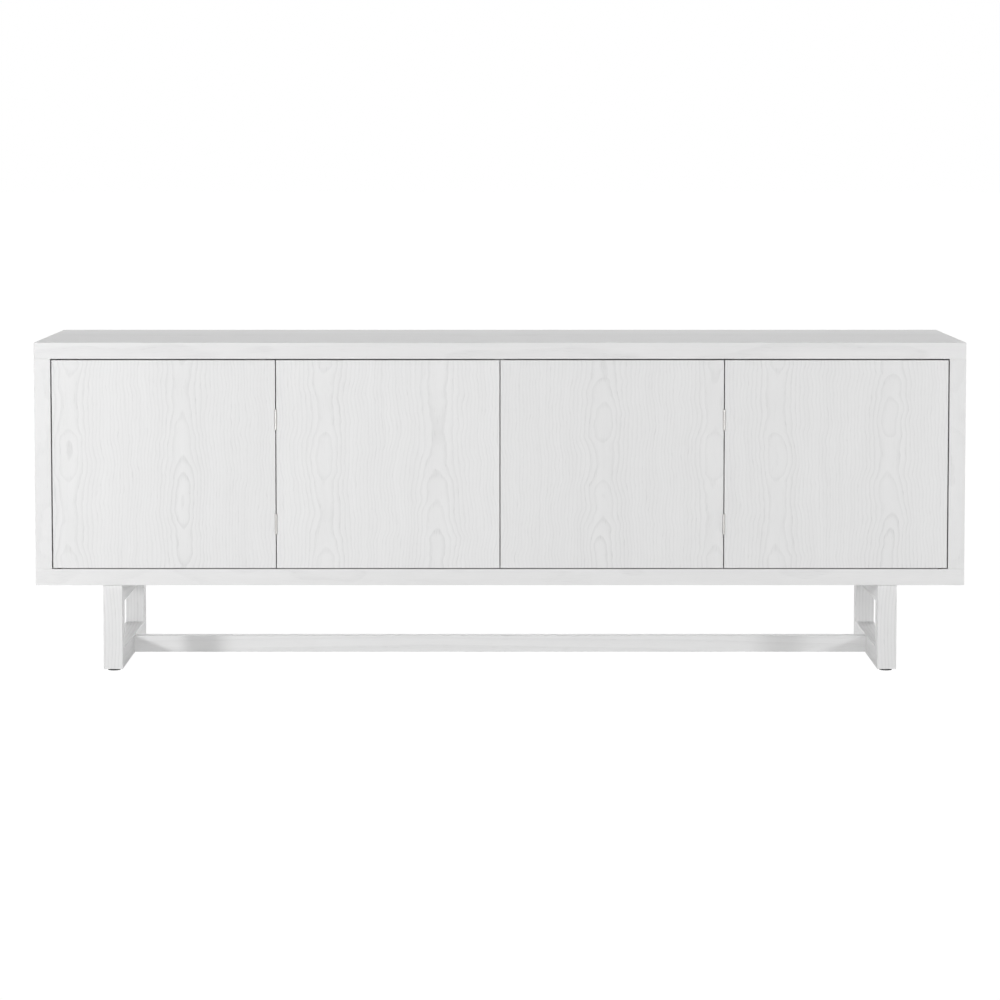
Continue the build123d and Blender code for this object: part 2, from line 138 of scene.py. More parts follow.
class StageSettings(bpy.types.PropertyGroup):
    sky: brightness("Sky", "Strength of the even light all round", 0.20)
    left_lamp: power("Left lamp", "Power of the soft box at the front left", 42.0)
    right_lamp: power("Right lamp", "Power of the soft box at the front right", 28.4)
    front_lamp: power("Front lamp", "Power of the wide lamp in front", 52.0)
    top_lamp: power("Top lamp", "Power of the wide lamp above", 30.0)
    back_lamp: power("Back lamp", "Power of the low wide lamp behind", 50.0)
    rim_lamp: power("Rim lamp", "Power of the high wide lamp behind", 36.0)
    floor: colour("Floor", "Colour of the floor", (0.85, 0.85, 0.85))
    floor_glow: brightness("Floor glow", "Light that the floor adds of its own", 0.125)
    floor_white: brightness("Floor white", "How bright the floor looks to the camera", 1.02)
    lens: FloatProperty(
        name="Lens", description="Focal length of the camera in millimetres", default=111.0, min=1
    )
    distance: length("Distance", "How far the camera stands in front of the middle of the stand", 6.2418)
    eye_height: length("Eye height", "Height of the camera above the floor", 1.0381)
    pitch: FloatProperty(
        name="Pitch",
        description="How far the camera looks down",
        default=math.radians(3.809),
        subtype="ANGLE",
    )
    shift: FloatProperty(name="Shift", description="Vertical shift of the lens", default=-0.15)


# ---- node helpers --------------------------------------------------------------------------------


def add(tree, kind, inputs=(), **settings):
    """Adds a node. An input given as a socket is linked, and any other is set."""
    new = tree.nodes.new(kind)
    for key, value in settings.items():
        setattr(new, key, value)
    for key, value in dict(inputs).items():
        if isinstance(value, bpy.types.NodeSocket):
            tree.links.new(value, new.inputs[key])
        else:
            new.inputs[key].default_value = value
    return new


def calc(tree, operation, *values):
    """One number from a math node."""
    return add(tree, "ShaderNodeMath", enumerate(values), operation=operation).outputs[0]


def stretched(tree, place, scale, shift=(0, 0, 0)):
    """The coordinates scaled axis by axis, and shifted."""
    return add(
        tree, "ShaderNodeMapping", {"Vector": place, "Scale": scale, "Location": shift}
    ).outputs[0]


def noise(tree, place, scale, detail=2.0, roughness=0.5):
    return add(
        tree,
        "ShaderNodeTexNoise",
        {"Vector": place, "Scale": scale, "Detail": detail, "Roughness": roughness},
    )


def ramp(tree, value, *stops):
    """A grey ramp through (position, level) stops."""
    new = add(tree, "ShaderNodeValToRGB", {"Fac": value})
    elements = new.color_ramp.elements
    while len(elements) < len(stops):
        elements.new(0.5)
    for element, (position, level) in zip(elements, stops):
        element.position = position
        element.color = (level, level, level, 1)
    return new.outputs["Color"]


def new_material(name):
    material = bpy.data.materials.new(name)
    material.use_nodes = True
    tree = material.node_tree
    return material, tree, tree.nodes["Principled BSDF"]


def darkened(tree, base, amount):
    """A colour made darker by a patterned amount."""
    light = calc(tree, "SUBTRACT", 1.0, amount)
    return add(tree, "ShaderNodeVectorMath", [(0, tuple(base)), (3, light)], operation="SCALE").outputs[0]


# ---- wood ----------------------------------------------------------------------------------------

DEEPEST = 12  # rings, the top of every heart line's scale
BEND_SCALE = 9  # of the rings' slow bends across the board, per metre
RIPPLE_SCALE = 40  # of the small ripples on those bends, per metre
FIBRE_SCALE = 620.0  # fibres per metre across the grain
STREAK_SCALE = 60.0
PORE_SCALE = 900.0
# The arches over a heart stand out, and the straight lines beside it are faint.
CLEAR_ARCH = 0.028  # metres from the heart
FAINT_LINE = 0.060
ARCH_DEPTH, LINE_DEPTH = 1.45, 0.80
BUMP_HEIGHT = 0.00025  # of the grain's relief, in metres
LACQUER_GLOSS = 0.38


def board_place(tree, inward, along, origin):
    """Object coordinates turned to a board: across its face, into it, and along its grain."""
    inward, along = Vector(inward), Vector(along)
    turn = Matrix((inward.cross(along), inward, along))
    place = add(tree, "ShaderNodeTexCoord").outputs["Object"]
    shift = -(turn @ Vector(origin))
    return add(
        tree, "ShaderNodeMapping", {"Vector": place, "Rotation": turn.to_euler(), "Location": shift}
    ).outputs[0]


def swayed(tree, place, amounts, scales, seed):
    """Coordinates that wander by different amounts across, into and along a board."""
    wander = noise(tree, stretched(tree, place, scales, seed), 1.0).outputs["Color"]
    centred = add(
        tree, "ShaderNodeVectorMath", [(0, wander), (1, (0.5, 0.5, 0.5))], operation="SUBTRACT"
    ).outputs[0]
    return add(
        tree, "ShaderNodeVectorMath", [(0, centred), (1, amounts), (2, place)], operation="MULTIPLY_ADD"
    ).outputs[0]


def heart_distance(tree, place, across, line, span, width):
    """Distance from the heart of the log. Its depth follows (part of the span, rings) points."""
    parts = add(tree, "ShaderNodeSeparateXYZ", {"Vector": place})
    height = calc(tree, "MULTIPLY_ADD", parts.outputs["Z"], 1 / span, 0.5)
    curve = add(tree, "ShaderNodeFloatCurve", {"Value": height})
    curve.mapping.extend = "HORIZONTAL"
    points = curve.mapping.curves[0].points
    while len(points) < len(line):
        points.new(0.5, 0.5)
    for point, (part, rings) in zip(points, line):
        point.location = (part, rings / DEEPEST)
    curve.mapping.update()
    depth = calc(tree, "MULTIPLY_ADD", curve.outputs[0], -DEEPEST * width, parts.outputs["Y"])
    side = calc(tree, "SUBTRACT", parts.outputs["X"], across)
    return calc(
        tree, "SQRT", calc(tree, "MULTIPLY_ADD", side, side, calc(tree, "MULTIPLY", depth, depth))
    )


def growth_rings(tree, radius, width):
    """Late-wood lines round the heart: 0 in early wood, up to 1 in a dark line."""
    count = calc(tree, "DIVIDE", radius, width)
    part = calc(tree, "FRACT", count)
    line = ramp(tree, part, (0.0, 0.0), (0.50, 0.15), (0.84, 1.0), (0.92, 0.8), (1.0, 0.0))
    year = calc(tree, "FLOOR", count)
    strength = add(tree, "ShaderNodeTexWhiteNoise", {"W": year}, noise_dimensions="1D").outputs["Value"]
    return calc(tree, "MULTIPLY", line, calc(tree, "MULTIPLY_ADD", strength, 0.45, 0.55))


def wood(name, inward, along, origin, span, hearts, base=None, strength=1.0, sway=1.0, wave=0.09):
    """White-stained wood. Each heart is its place across the board and the line of its depth.

    The wave is the length of the rings' slow bends along the grain.
    """
    look = bpy.context.scene.stand_wood
    material, tree, shader = new_material(name)
    place = board_place(tree, inward, along, origin)
    seed = tuple(9 * part for part in origin)
    bend = look.sway * sway
    bent = swayed(tree, place, (bend, bend * 0.25, 0), (BEND_SCALE, BEND_SCALE, 1 / wave), seed)
    ripples = (RIPPLE_SCALE, RIPPLE_SCALE, 5 / wave)
    bent = swayed(tree, bent, (bend * 0.12, bend * 0.05, 0), ripples, seed)
    radius = None
    for across, line in hearts:
        reach = heart_distance(tree, bent, across, line, span, look.ring_width)
        radius = reach if radius is None else calc(tree, "MINIMUM", radius, reach)
    rings = growth_rings(tree, radius, look.ring_width)
    fade = enumerate((radius, CLEAR_ARCH, FAINT_LINE, ARCH_DEPTH, LINE_DEPTH))
    near = add(tree, "ShaderNodeMapRange", fade).outputs[0]
    rings = calc(tree, "MULTIPLY", rings, near)
    fibres = noise(tree, stretched(tree, bent, (1, 1, 0.02)), FIBRE_SCALE, 3.0, 0.6).outputs["Fac"]
    streaks = noise(tree, stretched(tree, bent, (1, 1, 0.08), seed), STREAK_SCALE, 2.0).outputs["Fac"]
    dashes = noise(tree, stretched(tree, bent, (1, 1, 0.045)), PORE_SCALE, 1.0).outputs["Fac"]
    pores = ramp(tree, dashes, (0.0, 0.0), (0.60, 0.0), (0.70, 1.0))
    # Pores gather in the late wood.
    pores = calc(tree, "MULTIPLY", pores, calc(tree, "MULTIPLY_ADD", rings, 0.8, 0.2))
    depth = calc(tree, "MULTIPLY", rings, look.ring_depth * strength)
    depth = calc(tree, "MULTIPLY_ADD", fibres, look.fibre_depth * strength, depth)
    depth = calc(tree, "MULTIPLY_ADD", streaks, look.streak_depth * strength, depth)
    depth = calc(tree, "MULTIPLY_ADD", pores, look.pore_depth * strength, depth)
    tree.links.new(darkened(tree, base or look.stain, depth), shader.inputs["Base Color"])
    sheen = calc(tree, "MULTIPLY_ADD", rings, 0.07, look.roughness)
    sheen = calc(tree, "MULTIPLY_ADD", fibres, 0.08, sheen)
    tree.links.new(sheen, shader.inputs["Roughness"])
    relief = calc(tree, "MULTIPLY_ADD", pores, -0.9, calc(tree, "MULTIPLY", fibres, 0.5))
    relief = calc(tree, "MULTIPLY_ADD", rings, -0.35, relief)
    bump = add(tree, "ShaderNodeBump", {"Strength": 0.2, "Distance": BUMP_HEIGHT, "Height": relief})
    tree.links.new(bump.outputs[0], shader.inputs["Normal"])
    shader.inputs["Specular IOR Level"].default_value = LACQUER_GLOSS
    return material


def arches(*turns):
    """The depth line of a heart whose rings arch at each (part of the span, ring, way).

    The way is 1 for an arch that closes towards the far end, and -1 towards the near end.
    """
    line = []
    for part, ring, way in turns:
        line += [(part - 0.045 * way, ring + 0.25), (part + 0.008 * way, ring + 0.95)]
    return sorted(line)


def dress(node, material):
    """Gives every slot of a CAD node one material."""
    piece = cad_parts[node]
    if not piece.material_slots:
        piece.data.materials.append(material)
    for slot in piece.material_slots:
        slot.material = material


def dress_board(node, inward, along, hearts, **settings):
    """Dresses a board in wood whose show face looks against the inward direction."""
    low, high = box_of(node)
    origin = (low + high) / 2
    for axis in range(3):
        if inward[axis]:
            origin[axis] = low[axis] if inward[axis] > 0 else high[axis]
    span = sum(abs(part) * size for part, size in zip(along, high - low))
    dress(node, wood(f"{node}_wood", inward, along, origin, span, hearts, **settings))


# ---- metal and plastic -----------------------------------------------------------------------------


def metal(name, base, roughness, brushed_along=None):
    """Plated metal with fine brush lines, or with the cloudy look of zinc."""
    material, tree, shader = new_material(name)
    place = add(tree, "ShaderNodeTexCoord").outputs["Object"]
    scale = (1, 1, 1)
    if brushed_along is not None:
        scale = tuple(0.03 if axis == brushed_along else 1 for axis in range(3))
    lines = noise(tree, stretched(tree, place, scale), 1800.0, 2.0).outputs["Fac"]
    cloud = noise(tree, place, 120.0, 3.0).outputs["Fac"]
    depth = calc(tree, "MULTIPLY_ADD", cloud, 0.16, calc(tree, "MULTIPLY", lines, 0.10))
    tree.links.new(darkened(tree, base, depth), shader.inputs["Base Color"])
    tree.links.new(calc(tree, "MULTIPLY_ADD", lines, 0.16, roughness), shader.inputs["Roughness"])
    bump = add(tree, "ShaderNodeBump", {"Strength": 0.15, "Distance": 0.00004, "Height": lines})
    tree.links.new(bump.outputs[0], shader.inputs["Normal"])
    shader.inputs["Metallic"].default_value = 1.0
    return material


def plastic(name, base, roughness, grain_scale=1400.0, shine=0.5):
    """Moulded plastic with a fine spark-eroded grain."""
    material, tree, shader = new_material(name)
    place = add(tree, "ShaderNodeTexCoord").outputs["Object"]
    grain = noise(tree, place, grain_scale, 2.0).outputs["Fac"]
    cloud = noise(tree, place, 60.0, 2.0).outputs["Fac"]
    depth = calc(tree, "MULTIPLY_ADD", cloud, 0.05, calc(tree, "MULTIPLY", grain, 0.05))
    tree.links.new(darkened(tree, base, depth), shader.inputs["Base Color"])
    tree.links.new(calc(tree, "MULTIPLY_ADD", grain, 0.18, roughness), shader.inputs["Roughness"])
    bump = add(tree, "ShaderNodeBump", {"Strength": 0.25, "Distance": 0.00006, "Height": grain})
    tree.links.new(bump.outputs[0], shader.inputs["Normal"])
    shader.inputs["Specular IOR Level"].default_value = shine
    return material


def hardware():
    """The hardware's finishes, made once and then found again by name."""
    look = bpy.context.scene.stand_hardware
    makers = {
        "satin_nickel": lambda n: metal(n, look.nickel, 0.30, brushed_along=2),
        "black_steel": lambda n: metal(n, look.black_steel, 0.42),
        "zinc_screw": lambda n: metal(n, look.zinc, 0.34),
        "brass_bush": lambda n: metal(n, look.brass, 0.30, brushed_along=2),
        "white_plastic": lambda n: plastic(n, look.white_plastic, 0.42),
        "grey_plastic": lambda n: plastic(n, look.grey_plastic, 0.40),
        "black_nylon": lambda n: plastic(n, look.nylon, 0.60, 900.0, 0.12),
    }
    return {name: bpy.data.materials.get(name) or make(name) for name, make in makers.items()}


# ---- places read from the frame --------------------------------------------------------------------


def solids_of(node):
    """The points of each separate solid of a CAD node."""
    bm = bmesh.new()
    bm.from_mesh(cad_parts[node].data)
    bmesh.ops.remove_doubles(bm, verts=bm.verts, dist=1e-6)
    waiting = set(bm.verts)
    solids = []
    while waiting:
        front = [waiting.pop()]
        solid = []
        while front:
            vert = front.pop()
            solid.append(vert.co.copy())
            for edge in vert.link_edges:
                other = edge.other_vert(vert)
                if other in waiting:
                    waiting.discard(other)
                    front.append(other)
        solids.append(solid)
    bm.free()
    return solids


def fastener_seat(points):
    """The head's place, the driving direction, the head's radius and the length of one screw."""
    low = Vector([min(p[i] for p in points) for i in range(3)])
    high = Vector([max(p[i] for p in points) for i in range(3)])
    size = high - low
    axis = max(range(3), key=lambda i: size[i])
    middle = (low + high) / 2
    across = [i for i in range(3) if i != axis]
    reach = {}
    for end, level in ((-1, low[axis]), (1, high[axis])):
        ring = [p for p in points if abs(p[axis] - level) < 0.02 * size[axis]]
        reach[end] = max(math.hypot(*(p[i] - middle[i] for i in across)) for p in ring)
    head_end = max(reach, key=reach.get)
    start = middle.copy()
    start[axis] = high[axis] if head_end > 0 else low[axis]
    direction = Vector((0, 0, 0))
    direction[axis] = -head_end
    return start, direction, reach[head_end], min(reach.values()), size[axis]


def box_of(node):
    low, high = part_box(node)
    return Vector(low), Vector(high)


# ---- mesh helpers ------------------------------------------------------------------------------


def aimed(start, direction):
    """The transform that carries the origin to a point and +Z to a direction."""
    turn = Vector((0, 0, 1)).rotation_difference(Vector(direction)).to_matrix().to_4x4()
    return Matrix.Translation(start) @ turn


def lathe(profile, ring=False):
    """A (radius, height) outline spun about Z. A ring's outline is closed and clear of the axis."""
    bm = bmesh.new()
    verts = [bm.verts.new((radius, 0, height)) for radius, height in profile]
    pairs = list(zip(verts, verts[1:]))
    if ring:
        pairs.append((verts[-1], verts[0]))
    edges = [bm.edges.new(pair) for pair in pairs]
    bmesh.ops.spin(
        bm,
        geom=verts + edges,
        cent=(0, 0, 0),
        axis=(0, 0, 1),
        angle=2 * math.pi,
        steps=bpy.context.scene.stand_hardware.lathe_steps,
        use_merge=True,
    )
    bmesh.ops.remove_doubles(bm, verts=bm.verts, dist=1e-7)
    return bm


def round_corner(x, z, way_x, way_z, radius, steps=3):
    """Points of a quarter round at an outer corner, from its side to its end."""
    centre_x = x - way_x * radius
    centre_z = z - way_z * radius
    angles = [math.pi / 2 * step / steps for step in range(steps + 1)]
    return [
        (centre_x + way_x * radius * math.cos(a), centre_z + way_z * radius * math.sin(a)) for a in angles
    ]


def add_copy(bm, part, transform):
    """Adds a moved copy of one bmesh to another."""
    mesh = bpy.data.meshes.new("copy")
    part.to_mesh(mesh)
    mesh.transform(transform)
    bm.from_mesh(mesh)
    bpy.data.meshes.remove(mesh)


def to_piece(bm, name, body, slot, replaces=(), smooth_below=35):
    """Turns a finished bmesh into a piece that rides on a body."""
    bmesh.ops.recalc_face_normals(bm, faces=bm.faces)
    for face in bm.faces:
        face.smooth = True
    for edge in bm.edges:
        edge.smooth = len(edge.link_faces) == 2 and edge.calc_face_angle() < math.radians(smooth_below)
    mesh = bpy.data.meshes.new(name)
    bm.to_mesh(mesh)
    bm.free()
    piece = bpy.data.objects.new(name, mesh)
    bpy.context.scene.collection.objects.link(piece)
    piece.data.materials.append(hardware()[slot])
    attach(piece, body)
    if replaces:
        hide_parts(*replaces)
    return piece


def screw_form(head_radius, shank_radius, reach):
    """A countersunk screw along +Z from its flush head, with a cross recess and a point."""
    bm = bmesh.new()
    arm = head_radius * 0.56
    recess = head_radius * 0.42
    bmesh.ops.create_grid(bm, x_segments=3, y_segments=3, size=arm)
    centres = {face: face.calc_center_median() for face in bm.faces}
    corners = [face for face, place in centres.items() if min(abs(place.x), abs(place.y)) > arm / 3]
    bmesh.ops.delete(bm, geom=corners, context="FACES")
    rim = [e for e in bm.edges if e.is_boundary]
    walls = bmesh.ops.extrude_edge_only(bm, edges=rim)["geom"]
    mouth = [v for v in walls if isinstance(v, bmesh.types.BMVert)]
    for vert in bm.verts:
        if vert not in mouth:
            vert.co = Vector((vert.co.x * 0.8, vert.co.y * 0.8, recess))
    mouth_edges = [e for e in bm.edges if e.is_boundary]
    bmesh.ops.subdivide_edges(bm, edges=mouth_edges, cuts=1)
    mouth_edges = [e for e in bm.edges if e.is_boundary]
    circle = bmesh.ops.create_circle(bm, cap_ends=False, radius=head_radius, segments=len(mouth_edges))
    circle_edges = list({e for v in circle["verts"] for e in v.link_edges})
    bmesh.ops.bridge_loops(bm, edges=mouth_edges + circle_edges)
    loop = circle_edges
    head_depth = head_radius - shank_radius
    stages = ((head_radius, 0.12 * head_depth), (shank_radius, head_depth), (shank_radius, reach * 0.86))
    for radius, height in stages + ((shank_radius * 0.12, reach),):
        grown = bmesh.ops.extrude_edge_only(bm, edges=loop)["geom"]
        ring = [v for v in grown if isinstance(v, bmesh.types.BMVert)]
        for vert in ring:
            flat = Vector((vert.co.x, vert.co.y, 0)).normalized() * radius
            vert.co = Vector((flat.x, flat.y, height))
        loop = [e for e in grown if isinstance(e, bmesh.types.BMEdge) and all(v in ring for v in e.verts)]
    bmesh.ops.edgeloop_fill(bm, edges=loop)
    return bm


# ---- the pieces --------------------------------------------------------------------------------


class STAND_OT_case_boards(bpy.types.Operator):
    """Dress the boards of the case"""

    bl_idname = "stand.case_boards"
    bl_label = "Case boards"

    def execute(self, context):
        along_x, along_z = (1, 0, 0), (0, 0, 1)
        up, down = (0, 0, 1), (0, 0, -1)
        wide = [(-0.03, arches((0.04, 5, -1), (0.2, 6, -1), (0.47, 6, 1), (0.7, 5, 1), (0.88, 4, 1)))]
        dress_board("top_panel", down, along_x, wide, wave=0.45, sway=0.8)
        narrow = [(0.05, ((0, 9.0), (0.5, 6.5), (1, 8.0)))]
        dress_board("bottom_panel", up, along_x, narrow, wave=0.3)
        for side, way in (("left", -1), ("right", 1)):
            figure = [(0.04 * way, arches((0.15, 3, 1), (0.4, 4, 1), (0.62, 5, 1), (0.9, 5, -1)))]
            dress_board(f"side_panel_{side}", (-way, 0, 0), along_z, figure, wave=0.14)
            shelf = [(0.05, arches((0.2, 5, 1), (0.6, 6, 1), (0.85, 6, -1)))]
            dress_board(f"shelf_{side}", down, along_x, shelf, wave=0.25)
        figure = [(-0.03, arches((0.2, 4, 1), (0.5, 5, 1), (0.8, 6, 1)))]
        dress_board("centre_partition", (-1, 0, 0), along_z, figure, wave=0.14)
        paint = context.scene.stand_wood.back_board
        figure = [(0.02, arches((0.25, 5, -1), (0.55, 5, 1), (0.8, 6, 1)))]
        dress_board("back_panel", (0, -1, 0), along_x, figure, base=paint, strength=0.6, wave=0.3)
        return {"FINISHED"}


# For each door, its first heart's place across it, the arches over that heart from the bottom up,
# and how far beside it the second heart lies.
SECOND_HEART = 0.222
SIDE_ARCHES = arches((0.10, 4, 1), (0.42, 4, -1), (0.66, 4, 1), (0.93, 4, -1))
DOOR_FIGURES = {
    "outer_door_left": (
        0.036,
        arches((0.02, 3, -1), (0.195, 2, -1), (0.452, 2, 1), (0.529, 3, 1), (0.729, 4, 1))
        + [(0.86, 5.5), (1, 5.0)],
        -SECOND_HEART,
    ),
    "inner_door_left": (
        0.098,
        arches((0.195, 3, 1), (0.324, 4, 1), (0.452, 5, 1)) + [(0.62, 6.6), (1, 5.95)],
        -SECOND_HEART,
    ),
    "inner_door_right": (
        -0.018,
        arches((0.157, 2, 1), (0.243, 3, 1), (0.429, 4, 1), (0.60, 4, -1), (0.79, 4, 1), (0.91, 5, 1)),
        SECOND_HEART,
    ),
    "outer_door_right": (
        0.105,
        arches((0.181, 2, 1), (0.262, 3, 1), (0.452, 4, 1), (0.62, 4, -1), (0.819, 4, 1), (0.929, 5, 1)),
        -SECOND_HEART,
    ),
}


class STAND_OT_doors(bpy.types.Operator):
    """Dress the four doors, each with arches at its own place"""

    bl_idname = "stand.doors"
    bl_label = "Doors"

    def execute(self, context):
        bases = {"inner_door_left": context.scene.stand_wood.pale_stain}
        for node, (across, line, further) in DOOR_FIGURES.items():
            hearts = [(across, line), (across + further, SIDE_ARCHES)]
            dress_board(node, (0, 1, 0), (0, 0, 1), hearts, base=bases.get(node))
        return {"FINISHED"}


class STAND_OT_leg_frames(bpy.types.Operator):
    """Dress the leg frames and the stretcher"""

    bl_idname = "stand.leg_frames"
    bl_label = "Leg frames"

    def execute(self, context):
        grains = {
            "leg_front_post": (0, 0, 1),
            "leg_back_post": (0, 0, 1),
            "leg_top_rail": (0, 1, 0),
            "leg_bottom_rail": (0, 1, 0),
        }
        figure = ((0, 9.0), (0.5, 8.6), (1, 9.5))
        for side, way in (("left", -1), ("right", 1)):
            for part, along in grains.items():
                heart = [(0.03 * way, figure)]
                dress_board(f"{part}_{side}", (way, 0, 0), along, heart, sway=0.5, wave=0.2)
        pale = context.scene.stand_wood.pale_stain
        dress_board("stretcher", (0, 1, 0), (1, 0, 0), [(0.02, figure)], base=pale, sway=0.5, wave=0.5)
        return {"FINISHED"}


class STAND_OT_hinges(bpy.types.Operator):
    """Finish the hinge leaves, pivots and bushes, and make the domed hinge pins"""

    bl_idname = "stand.hinges"
    bl_label = "Hinges"

    def execute(self, context):
        finish = hardware()
        for side in SIDES:
            for part in ("outer_hinge_leaves", "inner_hinge_leaves"):
                dress(f"{part}_{side}", finish["satin_nickel"])
            dress(f"pivot_pins_{side}", finish["black_steel"])
            self.pins(side)
        dress("pivot_bushes", finish["brass_bush"])
        return {"FINISHED"}

    def pins(self, side):
        """The pins of one pair of doors, each with a domed end above and below its knuckles."""
        node = f"hinge_pins_{side}"
        bm = bmesh.new()
        for points in solids_of(node):
            low = Vector([min(p[i] for p in points) for i in range(3)])
            high = Vector([max(p[i] for p in points) for i in range(3)])
            radius = (high.x - low.x) / 2
            middle = (low + high) / 2
            half = (high.z - low.z) / 2
            dome = 0.25 * MM
            upper = [(radius, half - dome), (radius * 0.92, half - dome * 0.45)]
            upper += [(radius * 0.6, half - dome * 0.1), (0, half)]
            outline = [(r, -z) for r, z in reversed(upper)] + upper
            part = lathe(outline)
            add_copy(bm, part, Matrix.Translation(middle))
            part.free()
        to_piece(bm, f"domed_{node}", f"outer_door_{side}", "satin_nickel", replaces=[node])


class STAND_OT_latches(bpy.types.Operator):
    """Finish the touch latches and make their plungers, magnets and front collars"""

    bl_idname = "stand.latches"
    bl_label = "Touch latches"

    def execute(self, context):
        finish = hardware()
        edge = context.scene.stand_hardware.edge_round
        collars = bmesh.new()
        for side in SIDES:
            for part in ("outer", "inner"):
                dress(f"{part}_latch_housing_{side}", finish["white_plastic"])
                dress(f"{part}_strike_plate_{side}", finish["satin_nickel"])
                node = f"{part}_latch_plunger_{side}"
                low, high = box_of(node)
                tip = Vector(((low.x + high.x) / 2, low.y, (low.z + high.z) / 2))
                self.plunger(node, f"{part}_plunger_{side}", tip, high - low, edge)
                front = box_of(f"{part}_latch_housing_{side}")[0].y
                start = Vector((tip.x, front, tip.z))
                add_copy(collars, self.collar(high.x - low.x), aimed(start, (0, -1, 0)))
        to_piece(collars, "latch_collars", "case", "white_plastic")
        return {"FINISHED"}

    def plunger(self, node, body, tip, size, edge):
        """A stem with a cup in its tip, and the magnet that fills the cup."""
        radius = size.x / 2
        cup_radius = radius * 0.76
        cup_depth = 2.2 * MM
        stem = [(0, cup_depth), (cup_radius, cup_depth), (cup_radius, 0)]
        stem += round_corner(radius, 0, 1, -1, edge)[::-1]
        stem += round_corner(radius, size.y, 1, 1, edge) + [(0, size.y)]
        bm = lathe(stem)
        bmesh.ops.transform(bm, matrix=aimed(tip, (0, 1, 0)), verts=bm.verts)
        to_piece(bm, f"{node}_stem", body, "grey_plastic", replaces=[node])
        magnet = [(0, 0.05 * MM)] + round_corner(cup_radius * 0.94, 0.05 * MM, 1, -1, edge / 2)[::-1]
        magnet += [(cup_radius * 0.94, cup_depth), (0, cup_depth)]
        bm = lathe(magnet)
        bmesh.ops.transform(bm, matrix=aimed(tip, (0, 1, 0)), verts=bm.verts)
        to_piece(bm, f"{node}_magnet", body, "satin_nickel")

    def collar(self, plunger_width):
        """The raised ring on the front of a housing, round its plunger."""
        inside = plunger_width / 2 + 0.25 * MM
        outside = inside + 1.5 * MM
        proud = 0.9 * MM
        outline = [(inside, 0)] + round_corner(inside, proud, -1, 1, 0.2 * MM)
        outline += round_corner(outside, proud, 1, 1, 0.4 * MM)[::-1] + [(outside, 0)]
        return lathe(outline, ring=True)


class STAND_OT_grommets(bpy.types.Operator):
    """Make the cable grommets in the back panel"""

    bl_idname = "stand.grommets"
    bl_label = "Cable grommets"

    def execute(self, context):
        panel_back = box_of("back_panel")[1].y
        for side in SIDES:
            node = f"cable_grommet_{side}"
            low, high = box_of(node)
            middle = (low + high) / 2
            reach = high.y - low.y
            rim = high.y - panel_back
            flange = (high.x - low.x) / 2
            sleeve = flange - 5 * MM
            bore = sleeve - 3 * MM
            outline = round_corner(bore, 0, -1, -1, 0.6 * MM)
            outline += round_corner(sleeve, 0, 1, -1, 0.6 * MM)[::-1]
            outline += [(sleeve, reach - rim), (flange, reach - rim)]
            outline += round_corner(flange, reach, 1, 1, 1.2 * MM, 5)
            outline += round_corner(bore, reach, -1, 1, 1.0 * MM, 5)[::-1]
            bm = lathe(outline, ring=True)
            start = Vector((middle.x, low.y, middle.z))
            bmesh.ops.transform(bm, matrix=aimed(start, (0, 1, 0)), verts=bm.verts)
            to_piece(bm, f"{node}_ring", "case", "white_plastic", replaces=[node])
        return {"FINISHED"}


class STAND_OT_screws(bpy.types.Operator):
    """Make the cross-recessed screws in place of the plain ones"""

    bl_idname = "stand.screws"
    bl_label = "Screws"

    def execute(self, context):
        bodies = {"back_panel_screws": "case", "latch_screws": "case", "leg_frame_screws": "case"}
        for side in SIDES:
            for door in ("outer_door", "inner_door"):
                bodies[f"{door}_screws_{side}"] = f"{door}_{side}"
        for node, body in bodies.items():
            bm = bmesh.new()
            for points in solids_of(node):
                start, direction, head_radius, shank_radius, reach = fastener_seat(points)
                form = screw_form(head_radius, shank_radius, reach)
                add_copy(bm, form, aimed(start, direction))
                form.free()
            to_piece(bm, f"cross_{node}", body, "zinc_screw", replaces=[node])
        return {"FINISHED"}


class STAND_OT_pins_and_dowels(bpy.types.Operator):
    """Finish the shelf pins and the dowels"""

    bl_idname = "stand.pins_and_dowels"
    bl_label = "Shelf pins and dowels"

    def execute(self, context):
        dress("shelf_pins", hardware()["satin_nickel"])
        raw = context.scene.stand_wood.raw
        heart = [(0.03, ((0, 4.0), (1, 5.0)))]
        dress_board("corner_dowels", (0, 1, 0), (0, 0, 1), heart, base=raw, strength=2.0)
        dress_board("leg_frame_dowels", (0, 0, -1), (0, 1, 0), heart, base=raw, strength=2.0)
        return {"FINISHED"}


